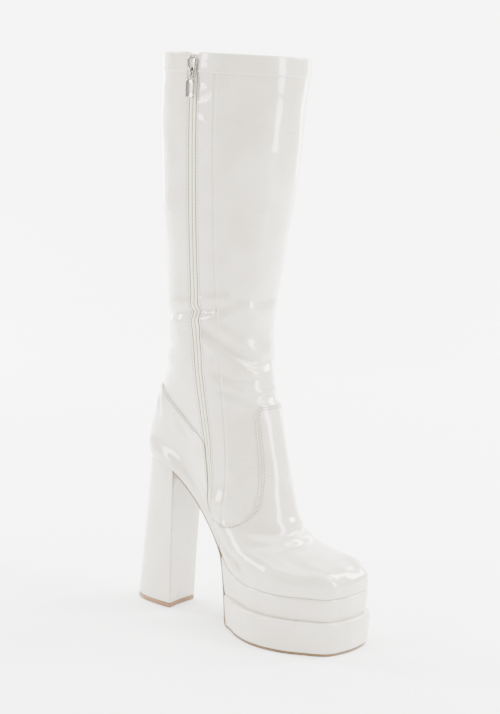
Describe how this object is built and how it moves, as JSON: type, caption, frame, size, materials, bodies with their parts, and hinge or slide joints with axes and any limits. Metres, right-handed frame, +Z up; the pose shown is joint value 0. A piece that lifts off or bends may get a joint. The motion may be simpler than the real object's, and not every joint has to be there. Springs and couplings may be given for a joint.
{
  "type": "knee-high platform boot",
  "caption": "Left knee-high go go boot in white patent with a stepped platform, a tall block heel and a full-length zip on the inner side.",
  "frame": {"origin": "on the floor under the ball of the foot, at the middle of the heel's width", "axes": "+Z up, toe along -Y, +X to the wearer's outer side"},
  "size_m": [0.1347, 0.2483, 0.53],
  "materials": {
    "patent_white": "high-gloss coated patent",
    "tan_sole": "smooth satin",
    "tan_lift": "smooth satin",
    "lining_board": "matte lining",
    "zip_tape": "woven tape with nylon coil",
    "silver_metal": "polished nickel"
  },
  "bodies": {
    "boot": {"upper": "patent_white", "collar_band": "patent_white", "vamp_shield": "patent_white", "counter": "patent_white", "heel_block": "patent_white", "platform_upper_tier": "patent_white", "platform_lower_tier": "patent_white", "outsole": "tan_sole", "heel_top_lift": "tan_lift", "insole": "lining_board", "zip_tape": "zip_tape", "zip_slider": "silver_metal"},
    "pull_tab": {"zip_pull_tab": "silver_metal"}
  },
  "joints": [
    {"name": "pull_tab_hinge", "type": "hinge", "parent": "boot", "child": "pull_tab", "pos_m": [-0.06747, 0.09859, 0.51317], "axis": [0.0234, 0.9992, 0.0322], "range_deg": [0, 150]}
  ]
}
